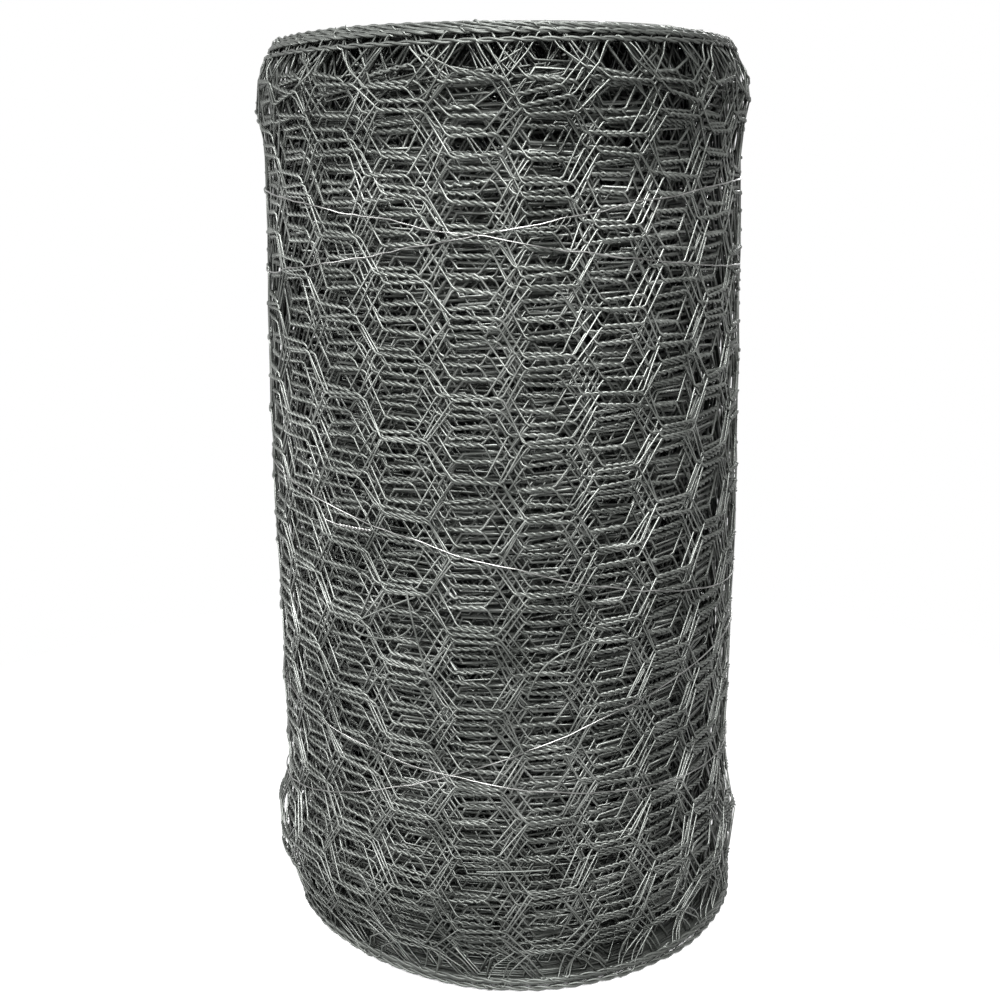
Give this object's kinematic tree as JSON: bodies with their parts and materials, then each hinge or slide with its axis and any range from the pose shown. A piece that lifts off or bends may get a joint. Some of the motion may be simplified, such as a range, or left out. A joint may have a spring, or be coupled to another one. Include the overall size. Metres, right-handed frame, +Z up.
{
  "type": "roll of hexagonal wire netting",
  "caption": "Dense roll of galvanised hexagonal wire netting standing on its end, wound round an open bore and held closed by slanting tie wires; fencing stock",
  "frame": {"origin": "centre of the bottom end, on the floor that the roll stands on", "axes": "+Z up along the bore and the longest extent, -Y towards the front of the picture, +X to the right in the picture"},
  "size_m": [0.3386, 0.3386, 0.6096],
  "materials": {
    "netting_wire": "weathered hot-dip galvanised",
    "tie_wire": "bright galvanised"
  },
  "bodies": {
    "root": {"netting_roll": "netting_wire", "tie_wire_upper": "tie_wire", "tie_wire_middle": "tie_wire", "tie_wire_lower": "tie_wire"}
  },
  "joints": []
}
